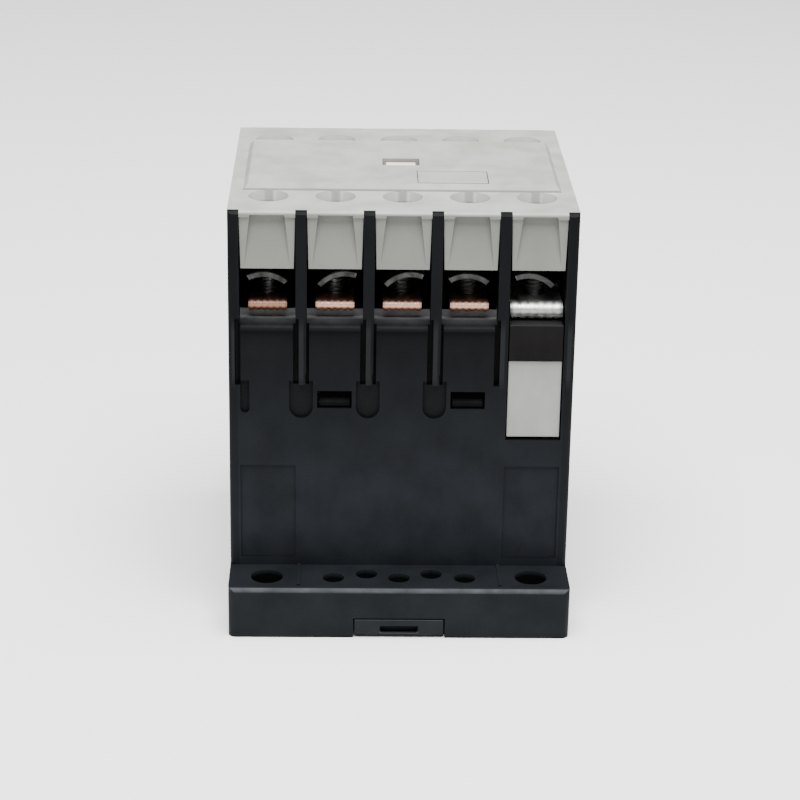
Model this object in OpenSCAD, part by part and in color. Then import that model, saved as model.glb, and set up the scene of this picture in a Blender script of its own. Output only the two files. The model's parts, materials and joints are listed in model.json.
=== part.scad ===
// Rail-mounted control relay: four poles and one coil, with five screw terminals on each of two faces.
// Origin: centre of the mounting plane. X runs along the rail, Y across it, Z away from the panel.
// The front terminals face -Y and the rear terminals face +Y.

/* [Body] */
// Width along the rail
body_w = 45; // [44:0.5:48]
// Depth of the housing between its two terminal faces
body_d = 42.6; // [42:0.1:44]
// Height from the mounting plane to the front
total_h = 57; // [57:0.1:57.4]
// Depth of the mounting flange
flange_d = 58; // [58:0.5:62]
// Height of the mounting flange
flange_h = 7; // [7:0.1:7.2]
// Thickness of the outer walls and of the dividers between bays
wall = 1.45; // [1.3:0.05:1.5]
// Thickness of the housing's skin around the magnet
skin = 1.5; // [1.3:0.05:1.6]

/* [Mounting] */
// Distance between screw holes along the rail
hole_x = 35; // [34:0.5:36]
// Distance between screw holes across the rail
hole_y = 50; // [49:0.5:51]
// Diameter of the screw holes
hole_dia = 4.3; // [4:0.1:4.5]
// Width of the rail over its lips
rail_w = 35; // [35:0.1:35.2]
// Thickness of the rail's lips
rail_lip = 1; // [1:0.1:1.2]
// Depth of the recess that takes the rail
rail_recess = 4.9; // [4.8:0.1:5]
// How far the latch reaches under the rail's lip
latch_bite = 1.5; // [1.2:0.1:1.6]
// How far the latch pulls out
latch_travel = 2.6; // [2.4:0.1:2.8]

/* [Contacts] */
// Stroke of the contact carrier
stroke = 4.9; // [4.5:0.1:4.9]
// Overtravel of the bridges in the carrier
overtravel = 1.1; // [1:0.05:1.2]
// Gap left between closed contact tips
closed_gap = 0.05; // [0.03:0.01:0.1]
// Width of the copper contact strips
strip_w = 5; // [4.6:0.1:5.2]
// Thickness of the copper contact strips
strip_t = 1.2; // [1:0.1:1.2]

/* [Terminals] */
// Distance of a clamp screw's axis from the middle
screw_y = 14.2; // [14:0.1:14.4]
// Diameter of a clamp screw's head
screw_head = 5.6; // [5.4:0.1:5.8]
// Diameter of a clamp screw's shank
screw_shank = 2.9; // [2.8:0.05:2.9]
// Radial clearance of the shank in its thread
screw_fit = 0.05; // [0.03:0.01:0.08]
// How far a clamp closes
clamp_travel = 2; // [1.7:0.05:2]
// Diameter of the screwdriver holes in the cover
driver_hole = 5.2; // [5:0.1:5.3]

/* [Hidden] */
$fn = 48;
eps = 0.01;
bays = 5;
poles = 4;
coil_bay = 5;
SIDES = ["front", "rear"];

// Outline
half_w = body_w / 2;
half_d = body_d / 2;
half_flange = flange_d / 2;
inner_w = half_w - wall;
bay_w = (body_w - (bays + 1) * wall) / bays;
pitch = bay_w + wall;
function bay_x(i) = (i - (bays + 1) / 2) * pitch;
function divider_x(i) = bay_x(i) + pitch / 2;

// Levels
magnet_top = 33;
floor_top = 36;
ledge_z = 40.8;
ledge_back_z = 41.3;
ledge_back_y = 18.2;
strip_z = 42.2;
strip_top = strip_z + strip_t;
tab_bottom = 48.5;
cover_z = 55.4;
plate_z = 56.2;
plate_edge_r = 0.6;
riser_top = 56.1;
riser_bevel = 0.35;
riser_depth = 0.8;
notch_gap = 0.03;

// Housing front face
divider_end_z = 32.7;
groove_depth = 1;
groove_left = [-1.04, -0.3];
groove_right = [0.66, 1.04];
groove_at_wall = [0.1, 0.85];
divider_face_w = 1.04;
ledge_round = 0.6;
undercut_depth = 0.45;
undercut_z = [33, 40.2];
pocket_w = 3.1;
pocket_z = 28.1;
pocket_depth = 0.5;
end_pocket_x = [-21, -19.8];
hook_window = [4.5, 2.4];
hook_window_z = 29.5;
panel_depth = 0.25;
panel_z = [8.2, 21.4];
chamber_y = half_d - skin;
contact_y = 8.2;
arc_wall_y = [8.4, 9.6];
partition_y = 4.6;
opening_x = 13.4;

// Terminals
nose_y = 18.9;
nose_r = 0.75;
nose_ribs = 6;
nose_rise = 0.8;
hub_r = 2.4;
hub_depth = 1.8;
thread_r = screw_shank / 2 + screw_fit;
saddle_r = 4.8;
saddle_t = 0.8;
saddle_w = 5.5;
saddle_len = 6.8;
saddle_hole_r = 1.85;
saddle_half_angle = asin(saddle_w / 2 / saddle_r);
saddle_end_z = strip_top + clamp_travel + 0.05;
saddle_top_z = saddle_end_z + saddle_r - (saddle_r - saddle_t) * cos(saddle_half_angle);
// How far each loose washer leans at rest, in degrees, its right end down
saddle_lean_front = [7, -16, -14, 3, 12];
saddle_lean_rear = [-9, 13, 5, -12, 8];
function saddle_lean(side, i) = side == "front" ? saddle_lean_front[i - 1] : saddle_lean_rear[i - 1];
saddle_lean_max = max([for (lean = concat(saddle_lean_front, saddle_lean_rear)) abs(lean)]);
saddle_rise = saddle_r * (1 - cos(saddle_lean_max));
screw_head_z = saddle_top_z + saddle_rise + 0.02;
screw_head_h = 2.3;
screw_top_z = screw_head_z + screw_head_h;
shank_bottom_z = strip_z - 1.7;

// Contacts
fixed_tip_t = 0.7;
bridge_tip_t = 0.6;
bridge_t = 0.8;
bridge_w = 4.4;
bridge_len = 15.2;
bridge_corner = 0.3;
tip_y = 6.2;
tip_size = [2.8, 2];
net_travel = stroke - overtravel;
seat_gap = 0.05;
window_w = 5;
spring_room = 4.25;
function closes_when_pulled(i) = i == 1 || i == poles;
function bridge_z(i) = closes_when_pulled(i)
    ? strip_top + fixed_tip_t + net_travel + closed_gap + bridge_tip_t
    : strip_z - fixed_tip_t - closed_gap - bridge_tip_t - bridge_t;
function window_z(i) = closes_when_pulled(i)
    ? [bridge_z(i) - seat_gap, bridge_z(i) + bridge_t + spring_room]
    : [bridge_z(i) - spring_room, bridge_z(i) + bridge_t + overtravel + seat_gap];
contact_spring_r = 1.45;
contact_wire = 0.4;

// Carrier and magnet
carrier_half_y = 4;
carrier_x = [-inner_w + 0.35, bay_x(poles) + 3.4];
carrier_top = 54.8;
carrier_side_z = 42;
indicator = [4, 2.4];
indicator_top = 56.6;
core_half_x = 13;
core_half_y = 6;
core_z = 8;
core_yoke = 4;
core_top = 24;
centre_leg = 3.6;
outer_leg = 2.8;
armature_z = core_top + stroke + 0.1;
armature_h = 4.4;
pin_r = 1;
pin_z = armature_z + 2.2;
strap_y = [6.2, 7.7];
strap_x = 5;
foot_z = [31.6, 32.8];
foot_y = 12;
return_spring_y = 10;
return_spring_r = 1.7;
return_wire = 0.45;

// Coil
bobbin_z = [12.2, 23.4];
bobbin_wall = 0.8;
bobbin_x = 9.9;
bobbin_y = 12;
flange_t = [1, 1.2];
tube_x = centre_leg + 0.2 + bobbin_wall;
tube_y = core_half_y + 0.2 + bobbin_wall;
winding_x = 9;
winding_y = 11.4;
tape_t = 0.3;
arm_x = [bay_x(coil_bay) - bay_w / 2 + 0.15, bay_x(coil_bay) + bay_w / 2 - 0.15];
arm_y = [16.6, 20.4];
block_z = [36.3, 41.2];
label_z = [25.5, 36.1];
label_t = 0.5;
coil_leg = [1.9, 0.6];
coil_leg_y = 17;
coil_leg_z = bobbin_z[1] + 1.6;

// Latch
latch_w = 5.9;
latch_wing = 7.6;
latch_z = [0.4, 2.6];
latch_wing_z = [1.2, 2.4];
latch_gap = 0.15;
channel_top = latch_z[1] + 0.2;
recess_y = rail_w / 2 + 0.4;
latch_tip_y = -rail_w / 2 + latch_bite;
latch_hook_y = -19.3;
latch_hook_z = rail_recess - rail_lip - 0.4;
post_y = [-27.2, -26.2];
post_below_wing = 0.6;
latch_spring_r = 0.75;
latch_wire = 0.3;
latch_spring_end = -20.6;
latch_wing_y = [-half_flange + latch_travel + 0.4, -19];

// Base details
small_holes = [[-8.7, 25.3], [-4.3, 24.1], [0, 25.3], [4.3, 24.1], [8.7, 25.3]];
small_hole_r = 1.45;
small_hole_depth = 2.8;
rib = [0.4, 0.25];
rib_x = 13.3;
spigot_h = 3;
spigot_t = 1.2;
spigot_gap = 0.2;
fixed_hook_bite = 1.6;
fixed_hook_x = [7, 18];

// Side walls
side_panel_y = 15;
side_panel_z = [11, 44];

// Cover details
cover_hook_y = 6;
cover_hook_w = 4;
cover_hook_z = [49.7, 51.4];
hook_t = 0.7;
pad_x = 21;
pad_y = 11;
pad_edge = 0.8;
cover_tube_z = 51;
cover_tube_t = 0.7;
tab_w = [7.16, 6.8];
tab_y = [19.9, 21];
scoop_w = [4.4, 6.2];
scoop_depth = 0.8;
scoop_top = 55.7;
indicator_window = [5, 3.4];
plate_x = [2, 11.4];
plate_y = [-10.4, -4.4];
plate_t = 0.5;
plate_seat_z = total_h - plate_t - 0.02;
plate_gap = 0.1;
plate_pry_gap = 0.45;

// Magnet details
ring_t = 0.7;
ring_z = [core_top - 1.4, core_top - 0.2];
ring_slot_x = [10.9, 11.6];

// Coil details
winding_z = [bobbin_z[0] + flange_t[0], bobbin_z[1] - flange_t[1]];
coil_strip_w = 6.8;
coil_nose_r = 1.15;
coil_nose_rise = 0.36;
coil_strip_inner_y = 10.2;

// Screw and latch details
drive_slot = [0.8, 1.1];
latch_slot_w = 3;
latch_post_w = 2.4;
finger_slot_w = 5;
finger_slot_z = [0.7, 1.7];

// ---- Shapes that repeat ----

// A box given by its lowest and highest corners.
module span(low, high) {
    translate(low) cube(high - low);
}

// A box centred on X, from y0 to y1 and from z0 to z1.
module bar(width, y, z, x = 0) {
    span([x - width / 2, y[0], z[0]], [x + width / 2, y[1], z[1]]);
}

// A rectangle with round corners, made of true arcs.
module rounded_rect(width, depth, radius) {
    square([width - 2 * radius, depth], center = true);
    square([width, depth - 2 * radius], center = true);
    for (x = [-1, 1])
        for (y = [-1, 1])
            translate([x * (width / 2 - radius), y * (depth / 2 - radius)]) circle(radius);
}

// Draws its children, made for the front face, on the front or on the rear.
module on_face(side) {
    mirror([0, side == "rear" ? 1 : 0, 0]) children();
}

module on_both_faces() {
    for (side = SIDES)
        on_face(side) children();
}

// Extrudes a profile drawn as [distance from the middle, height] on the front face, along X.
module along_x(width, x = 0) {
    translate([x + width / 2, 0, 0])
        rotate([90, 0, -90])
            linear_extrude(width) children();
}

// A round bar along X, centred on X.
module rod_x(width, radius) {
    translate([-width / 2, 0, 0]) rotate([0, 90, 0]) cylinder(r = radius, h = width);
}

// A round bar along Y, centred on Y.
module rod_y(depth, radius) {
    translate([0, depth / 2, 0]) rotate([90, 0, 0]) cylinder(r = radius, h = depth);
}

// Extrudes a profile drawn as [X, Z] along Y, centred on Y.
module along_y(depth) {
    translate([0, depth / 2, 0]) rotate([90, 0, 0]) linear_extrude(depth) children();
}

// What a rounding takes off an edge that runs along X.
// The edge is at the origin, and the solid lies at +Y and -Z.
module edge_round(length, radius) {
    difference() {
        translate([-length / 2, -eps, -radius]) cube([length, radius + eps, radius + eps]);
        translate([0, radius, -radius]) rod_x(length + 2, radius);
    }
}

// A coil spring along Z from 0 to its length, with half a flat turn at each end.
module coil_spring(radius, wire, length, turns, sides = 6, steps = 14) {
    count = ceil(turns * steps);
    climb = turns - 1;
    function height(t) = wire / 2 + (length - wire) * min(1, max(0, (t * turns - 0.5) / climb));
    points = [
        for (k = [0:count])
            for (j = [0:sides - 1])
                let (t = k / count, turn = 360 * turns * t, a = 360 * j / sides)
                    [
                        (radius + wire / 2 * cos(a)) * cos(turn),
                        (radius + wire / 2 * cos(a)) * sin(turn),
                        height(t) + wire / 2 * sin(a)
                    ]
    ];
    skin_faces = [
        for (k = [0:count - 1])
            for (j = [0:sides - 1])
                let (a = k * sides + j, b = k * sides + (j + 1) % sides)
                    each [[a, a + sides, b], [b, a + sides, b + sides]]
    ];
    first_end = [for (j = [0:sides - 1]) j];
    last_end = [for (j = [0:sides - 1]) count * sides + sides - 1 - j];
    polyhedron(points, concat(skin_faces, [first_end, last_end]));
}

// ---- Mounting base ----

module flange_block() {
    difference() {
        linear_extrude(flange_h) rounded_rect(body_w, flange_d, 1);
        on_both_faces() translate([0, -half_flange, flange_h]) edge_round(body_w + 2, 0.7);
    }
}

module flange_holes() {
    for (x = [-1, 1])
        for (y = [-1, 1])
            translate([x * hole_x / 2, y * hole_y / 2, -1]) cylinder(d = hole_dia, h = flange_h + 2);
    on_both_faces()
        for (p = small_holes)
            translate([p[0], -p[1], flange_h - small_hole_depth]) cylinder(r = small_hole_r, h = flange_h);
}

module latch_channel() {
    width = 2 * (latch_w + latch_gap);
    bar(width, [-half_flange - 1, -recess_y + 1], [-1, channel_top]);
    bar(width, [latch_hook_y - latch_travel - 0.3, -recess_y + 1], [-1, latch_hook_z + 0.2]);
    bar(2 * (latch_wing + latch_gap), [-half_flange + 0.2, -recess_y - 0.5],
        [latch_wing_z[0] - latch_gap, latch_wing_z[1] + latch_gap]);
}

// Arms that rise inside the housing and click into its windows.
module base_hooks() {
    arm_w = 4;
    arm_top = hook_window_z + hook_window[1] - 0.2;
    arm_back = chamber_y - 1.5;
    on_both_faces()
        for (i = [2, poles])
            along_x(arm_w, bay_x(i))
                polygon([
                    [arm_back, flange_h - eps],
                    [chamber_y - 0.2, flange_h - eps],
                    [chamber_y - 0.2, hook_window_z + 0.2],
                    [half_d - 0.4, hook_window_z + 0.2],
                    [half_d - 0.4, hook_window_z + 0.7],
                    [chamber_y - 0.2, arm_top],
                    [arm_back, arm_top]
                ]);
}

module base_spigot() {
    outer = [inner_w - spigot_gap, chamber_y - spigot_gap];
    difference() {
        span([-outer[0], -outer[1], flange_h - eps], [outer[0], outer[1], flange_h + spigot_h]);
        span([-outer[0] + spigot_t, -outer[1] + spigot_t, flange_h - 1],
            [outer[0] - spigot_t, outer[1] - spigot_t, flange_h + spigot_h + 1]);
    }
}

module mounting_base() {
    color("#2b2d31") {
        difference() {
            union() {
                flange_block();
                base_spigot();
                base_hooks();
                on_both_faces()
                    for (x = [-rib_x, rib_x])
                        bar(rib[0], [-half_flange + 1.2, -half_d], [flange_h - eps, flange_h + rib[1]], x);
            }
            flange_holes();
            latch_channel();
            span([-half_w - 1, -recess_y, -1], [half_w + 1, recess_y, rail_recess]);
        }
        for (x = [-1, 1])
            bar(fixed_hook_x[1] - fixed_hook_x[0], [recess_y - fixed_hook_bite, recess_y + eps],
                [1.8, rail_recess - rail_lip - 0.3], x * (fixed_hook_x[0] + fixed_hook_x[1]) / 2);
        bar(latch_post_w, post_y, [latch_wing_z[0] - post_below_wing, channel_top + eps]);
    }
}

// ---- Main housing ----

module housing_block() {
    translate([0, 0, flange_h])
        linear_extrude(cover_z - flange_h) rounded_rect(body_w, body_d, 0.6);
}

// The open space of one terminal bay, over a ledge that slopes down to a rounded front edge.
module terminal_bay(i) {
    along_x(bay_w, bay_x(i))
        difference() {
            polygon([
                [arc_wall_y[1], strip_z],
                [ledge_back_y, strip_z],
                [ledge_back_y, ledge_back_z],
                [half_d - ledge_round, ledge_z],
                [half_d - ledge_round, ledge_z - ledge_round],
                [half_d + 1, ledge_z - ledge_round],
                [half_d + 1, cover_z + 1],
                [arc_wall_y[1], cover_z + 1]
            ]);
            translate([half_d - ledge_round, ledge_z - ledge_round]) circle(ledge_round);
        }
    bar(strip_w + 0.1, [-arc_wall_y[1] - 1, -contact_y + 1], [strip_z, strip_top + eps], bay_x(i));
    translate([bay_x(i), -screw_y, strip_z - 3.9]) cylinder(r = hub_r + 0.3, h = 5);
}

// A groove in the front face, between two distances from a divider's middle.
module face_groove(i, x) {
    span([divider_x(i) + x[0], -half_d - 1, divider_end_z],
        [divider_x(i) + x[1], -half_d + groove_depth, ledge_z + 1]);
}

// Narrow grooves that set the dividers off from the panels below the ledges.
module divider_grooves() {
    face_groove(0, groove_at_wall);
    for (i = [1:bays - 1])
        face_groove(i, groove_left);
    for (i = [1:bays - 2])
        face_groove(i, groove_right);
}

// The panels below the ledges of the poles lean back under them.
module ledge_undercuts() {
    for (i = [1:poles])
        along_x(bay_w, bay_x(i))
            polygon([
                [half_d + 1, undercut_z[0]],
                [half_d, undercut_z[0]],
                [half_d - undercut_depth, undercut_z[1]],
                [half_d + 1, undercut_z[1]]
            ]);
}

// A shallow pocket with a round lower end.
module round_pocket(width, x, bottom_z, top_z) {
    bar(width, [-half_d - 1, -half_d + pocket_depth], [bottom_z + width / 2, top_z], x);
    translate([x, -half_d - 1, bottom_z + width / 2])
        rotate([-90, 0, 0]) cylinder(d = width, h = 1 + pocket_depth);
}

// The pockets in which the dividers run out, and a narrow one beside the left wall.
module divider_pockets() {
    for (i = [1:bays - 2])
        difference() {
            round_pocket(pocket_w, divider_x(i), pocket_z, divider_end_z + 1.5);
            bar(divider_face_w, [-half_d - 2, -half_d + 1], [divider_end_z, divider_end_z + 2], divider_x(i));
            for (s = [-1, 1])
                bar(pocket_w, [-half_d - 2, -half_d + 1], [divider_end_z + 0.6, divider_end_z + 3],
                    divider_x(i) + s * (pocket_w / 2 + 1));
        }
    round_pocket(end_pocket_x[1] - end_pocket_x[0], (end_pocket_x[0] + end_pocket_x[1]) / 2,
        pocket_z + 0.7, divider_end_z + 0.6);
}

module hook_windows() {
    for (i = [2, poles])
        bar(hook_window[0], [-half_d - 1, -chamber_y + 1],
            [hook_window_z, hook_window_z + hook_window[1]], bay_x(i));
}

// The slot in the coil's bay for the bobbin's terminal arm.
module coil_arm_slot() {
    bar(bay_w, [-chamber_y, -arm_y[0] + 0.2], [magnet_top - 1, strip_z + 1], bay_x(coil_bay));
    bar(bay_w, [-half_d - 1, -chamber_y + 1], [label_z[0] - 0.3, strip_z + 1], bay_x(coil_bay));
}

module front_relief() {
    for (x = [-1, 1])
        bar(bay_w, [-half_d - 1, -half_d + panel_depth], panel_z, x * bay_x(bays));
}

// Pockets and windows in the side walls for the cover's hooks.
module cover_hook_seats() {
    for (x = [-1, 1])
        for (y = [-1, 1])
            translate([x * inner_w, y * cover_hook_y, 0]) {
                bar(2 * (hook_t + 0.2), [-cover_hook_w / 2 - 0.2, cover_hook_w / 2 + 0.2],
                    [cover_hook_z[0] - 0.4, cover_z + 1]);
                bar(4 * wall, [-cover_hook_w / 2 - 0.2, cover_hook_w / 2 + 0.2],
                    [cover_hook_z[0] - 0.2, cover_hook_z[1] + 0.2]);
            }
}

// Shallow panels on the side walls.
module side_relief() {
    for (x = [-1, 1])
        translate([x * half_w, 0, 0]) bar(2 * panel_depth, [-side_panel_y, side_panel_y], side_panel_z);
}

// The top of a divider or a side wall, bevelled, which stands in a notch of the cover's edge.
module riser(width, x) {
    along_x(width, x)
        polygon([
            [half_d, cover_z - eps],
            [half_d, riser_top - riser_bevel],
            [half_d - riser_bevel, riser_top],
            [half_d - riser_depth, riser_top],
            [half_d - riser_depth, cover_z - eps]
        ]);
}

module face_risers() {
    intersection() {
        translate([0, 0, cover_z - 1]) linear_extrude(2) rounded_rect(body_w, body_d, 0.6);
        on_both_faces() {
            for (i = [1:bays - 1])
                riser(wall, divider_x(i));
            for (x = [-half_w, half_w])
                riser(2 * wall, x);
        }
    }
}

module main_housing() {
    color("#26282c") {
        difference() {
            housing_block();
            span([-inner_w, -chamber_y, flange_h - 1], [inner_w, chamber_y, magnet_top]);
            span([-opening_x, -contact_y, magnet_top - 1], [opening_x, contact_y, floor_top + 1]);
            span([-inner_w, -contact_y, floor_top], [divider_x(poles) - wall / 2, contact_y, cover_z + 1]);
            bar(bay_w, [-contact_y, contact_y], [strip_top + 1, cover_z + 1], bay_x(coil_bay));
            on_both_faces() {
                for (i = [1:bays])
                    terminal_bay(i);
                ledge_undercuts();
                divider_grooves();
                divider_pockets();
                hook_windows();
                coil_arm_slot();
                front_relief();
            }
            cover_hook_seats();
            side_relief();
        }
        on_both_faces()
            for (i = [1:poles - 1])
                bar(wall, [-contact_y - eps, -partition_y], [floor_top - eps, cover_z], divider_x(i));
        face_risers();
    }
}

// ---- Front cover ----

// A notch in the plate's edge for the top of a divider or a side wall.
module edge_notch(width, x) {
    bar(width + 2 * notch_gap, [-half_d - 1, -half_d + riser_depth + notch_gap],
        [cover_z - 1, plate_z + 1], x);
}

// The thin plate with a raised middle.
module cover_plate() {
    difference() {
        translate([0, 0, cover_z]) linear_extrude(plate_z - cover_z) rounded_rect(body_w, body_d, 0.6);
        on_both_faces() {
            translate([0, -half_d, plate_z]) edge_round(body_w + 2, plate_edge_r);
            for (i = [1:bays - 1])
                edge_notch(wall, divider_x(i));
            for (x = [-half_w, half_w])
                edge_notch(2 * wall, x);
        }
    }
    intersection() {
        along_x(2 * pad_x)
            polygon([
                [-pad_y - pad_edge, plate_z - 0.2],
                [pad_y + pad_edge, plate_z - 0.2],
                [pad_y, total_h],
                [-pad_y, total_h]
            ]);
        rotate([0, 0, 90])
            along_x(body_d)
                polygon([
                    [-pad_x, plate_z - 0.2],
                    [pad_x, plate_z - 0.2],
                    [pad_x - pad_edge, total_h],
                    [-pad_x + pad_edge, total_h]
                ]);
    }
}

// One grey tab over a bay's wire entry.
module cover_tab(i) {
    translate([bay_x(i), -tab_y[0], 0])
        rotate([90, 0, 0])
            linear_extrude(tab_y[1] - tab_y[0])
                polygon([
                    [-tab_w[1] / 2, tab_bottom],
                    [tab_w[1] / 2, tab_bottom],
                    [tab_w[0] / 2, cover_z + eps],
                    [-tab_w[0] / 2, cover_z + eps]
                ]);
}

// A scoop in a tab, which starts under the plate's lip, gets shallower downwards and widens.
module tab_scoop(i) {
    intersection() {
        along_x(bay_w, bay_x(i))
            polygon([
                [tab_y[1] + 1, tab_bottom - 1],
                [tab_y[1] + 0.01, tab_bottom + 0.2],
                [tab_y[1] - scoop_depth, scoop_top],
                [tab_y[1] + 1, scoop_top]
            ]);
        translate([bay_x(i), -tab_y[0], 0])
            rotate([90, 0, 0])
                linear_extrude(3)
                    polygon([
                        [-scoop_w[1] / 2, tab_bottom - 1],
                        [scoop_w[1] / 2, tab_bottom - 1],
                        [scoop_w[0] / 2, scoop_top + eps],
                        [-scoop_w[0] / 2, scoop_top + eps]
                    ]);
    }
}

module cover_hooks() {
    for (x = [-1, 1])
        for (y = [-1, 1])
            translate([x * inner_w, y * cover_hook_y, 0])
                mirror([x < 0 ? 1 : 0, 0, 0])
                    rotate([90, 0, 0])
                        translate([0, 0, -cover_hook_w / 2])
                            linear_extrude(cover_hook_w)
                                polygon([
                                    [0.1, cover_z + eps],
                                    [0.1, cover_hook_z[0] + 0.1],
                                    [0.5, cover_hook_z[0]],
                                    [wall - 0.2, cover_hook_z[1] - 0.5],
                                    [wall - 0.2, cover_hook_z[1]],
                                    [hook_t, cover_hook_z[1]],
                                    [hook_t, cover_z + eps]
                                ]);
}

module front_cover() {
    color("#cfcfca")
        difference() {
            union() {
                cover_plate();
                cover_hooks();
                on_both_faces()
                    for (i = [1:bays]) {
                        cover_tab(i);
                        translate([bay_x(i), -screw_y, cover_tube_z])
                            cylinder(d = driver_hole + 2 * cover_tube_t, h = cover_z - cover_tube_z + eps);
                    }
            }
            on_both_faces()
                for (i = [1:bays]) {
                    tab_scoop(i);
                    translate([bay_x(i), -screw_y, cover_tube_z - 1]) cylinder(d = driver_hole, h = 9);
                }
            bar(indicator_window[0], [-1, 1] * indicator_window[1] / 2, [cover_z - 1, total_h + 1]);
            span([plate_x[0], plate_y[0], plate_seat_z], [plate_x[1], plate_y[1], total_h + 1]);
        }
}

module marking_plate() {
    color("#e4e3dd")
        span([plate_x[0] + plate_gap, plate_y[0] + plate_pry_gap, plate_seat_z],
            [plate_x[1] - plate_gap, plate_y[1] - plate_gap, plate_seat_z + plate_t]);
}

module coil_label() {
    color("#ecebe6")
        span([arm_x[0], -arm_y[1] - label_t, label_z[0]], [arm_x[1], -arm_y[1], label_z[1]]);
}

// ---- Magnet ----

module stator_core() {
    leg_x = core_half_x - outer_leg;
    color("#7c7f83")
        difference() {
            rotate([90, 0, 0])
                translate([0, 0, -core_half_y])
                    linear_extrude(2 * core_half_y)
                        polygon([
                            [-core_half_x, core_z],
                            [core_half_x, core_z],
                            [core_half_x, core_top],
                            [leg_x, core_top],
                            [leg_x, core_z + core_yoke],
                            [centre_leg, core_z + core_yoke],
                            [centre_leg, core_top - 0.1],
                            [-centre_leg, core_top - 0.1],
                            [-centre_leg, core_z + core_yoke],
                            [-leg_x, core_z + core_yoke],
                            [-leg_x, core_top],
                            [-core_half_x, core_top]
                        ]);
            for (x = [-1, 1])
                bar(ring_t, [-core_half_y - 1, core_half_y + 1], [ring_z[0], core_top + 1],
                    x * (ring_slot_x[0] + ring_slot_x[1]) / 2);
        }
}

// Two copper loops, each let into a pole face and round the end of its leg.
module shading_rings() {
    outer_x = core_half_x + ring_t;
    color("#b8703f")
        for (x = [-1, 1])
            mirror([x < 0 ? 1 : 0, 0, 0])
                difference() {
                    span([ring_slot_x[0], -core_half_y - ring_t, ring_z[0]],
                        [outer_x, core_half_y + ring_t, ring_z[1]]);
                    span([ring_slot_x[1], -core_half_y, ring_z[0] - 1],
                        [core_half_x, core_half_y, ring_z[1] + 1]);
                }
}

module damper_pad() {
    color("#1b1b1b")
        span([-core_half_x, -core_half_y, flange_h], [core_half_x, core_half_y, core_z]);
}

module armature() {
    color("#85888c")
        difference() {
            bar(2 * core_half_x, [-core_half_y, core_half_y], [armature_z, armature_z + armature_h]);
            translate([0, 0, pin_z]) rod_y(2 * core_half_y + 2, pin_r);
        }
}

module armature_pin() {
    color("#a9abae")
        translate([0, 0, pin_z]) rod_y(2 * strap_y[1], pin_r);
}

module return_springs() {
    color("#a3a6aa")
        on_both_faces()
            translate([0, -return_spring_y, bobbin_z[1]])
                coil_spring(return_spring_r, return_wire, foot_z[0] - bobbin_z[1], 5);
}

// ---- Coil ----

module bobbin_tube() {
    difference() {
        union() {
            bar(2 * tube_x, [-tube_y, tube_y], bobbin_z);
            bar(2 * bobbin_x, [-bobbin_y, bobbin_y], [bobbin_z[0], bobbin_z[0] + flange_t[0]]);
            bar(2 * bobbin_x, [-bobbin_y, bobbin_y], [bobbin_z[1] - flange_t[1], bobbin_z[1]]);
        }
        bar(2 * (tube_x - bobbin_wall), [-tube_y + bobbin_wall, tube_y - bobbin_wall],
            [bobbin_z[0] - 1, bobbin_z[1] + 1]);
    }
}

// The arm that carries a coil terminal, from the bobbin's upper flange up to the ledge.
module bobbin_arm() {
    beam_z = [bobbin_z[1] - flange_t[1], bobbin_z[1]];
    span([0, -bobbin_y, beam_z[0]], [arm_x[1], -bobbin_y + 3, beam_z[1]]);
    span([arm_x[0], -chamber_y + 0.2, beam_z[0]], [arm_x[1], -bobbin_y + 1, beam_z[1]]);
    difference() {
        union() {
            span([arm_x[0], -chamber_y + 0.2, beam_z[0]], [arm_x[1], -arm_y[0], block_z[1]]);
            span([arm_x[0], -arm_y[1], label_z[0] - 0.1], [arm_x[1], -chamber_y + 0.3, block_z[1]]);
            span([arm_x[0], -half_d, block_z[0]], [arm_x[1], -chamber_y, block_z[1]]);
        }
        bar(coil_leg[0] + 0.1, [-coil_leg_y - coil_leg[1] - 0.05, -arm_y[0] + 1],
            [beam_z[1] + 1, block_z[1] + 1], bay_x(coil_bay));
    }
}

module coil_bobbin() {
    color("#2d2829") {
        bobbin_tube();
        on_both_faces() bobbin_arm();
    }
}

module winding_ring(half_x, half_y, inner_x, inner_y, z) {
    difference() {
        bar(2 * half_x, [-half_y, half_y], z);
        bar(2 * inner_x, [-inner_y, inner_y], [z[0] - 1, z[1] + 1]);
    }
}

module coil_winding() {
    color("#a6552d") winding_ring(winding_x, winding_y, tube_x, tube_y, winding_z);
}

module winding_tape() {
    color("#c9b24a")
        winding_ring(winding_x + tape_t, winding_y + tape_t, winding_x, winding_y,
            [winding_z[0] + 0.2, winding_z[1] - 0.2]);
}

// ---- Terminals ----

// A terminal strip from its ribbed nose inwards, with a threaded hub under the clamp.
module terminal_strip(width, inner_y, nose_radius, nose_z) {
    difference() {
        union() {
            bar(width, [-nose_y + 0.2, -inner_y], [strip_z, strip_top]);
            translate([0, -screw_y, strip_z - hub_depth]) cylinder(r = hub_r, h = hub_depth + eps);
            translate([0, -nose_y, nose_z]) {
                rod_x(width, nose_radius - 0.1);
                for (k = [0:nose_ribs - 1])
                    translate([((k + 0.5) / nose_ribs - 0.5) * width, 0, 0])
                        rod_x(0.6 * width / nose_ribs, nose_radius);
            }
        }
        translate([0, -screw_y, strip_z - hub_depth - 1]) cylinder(r = thread_r, h = 6);
    }
}

module fixed_contact(side, i) {
    color("#c4753f")
        on_face(side)
            translate([bay_x(i), 0, 0])
                terminal_strip(strip_w, partition_y + 0.3, nose_r, strip_z + nose_rise);
}

module coil_terminal(side) {
    color("#c9ccd0")
        on_face(side)
            translate([bay_x(coil_bay), 0, 0]) {
                terminal_strip(coil_strip_w, coil_strip_inner_y, coil_nose_r, strip_z + coil_nose_rise);
                bar(coil_leg[0], [-coil_leg_y - coil_leg[1], -coil_leg_y], [coil_leg_z, strip_z + eps]);
            }
}

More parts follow.
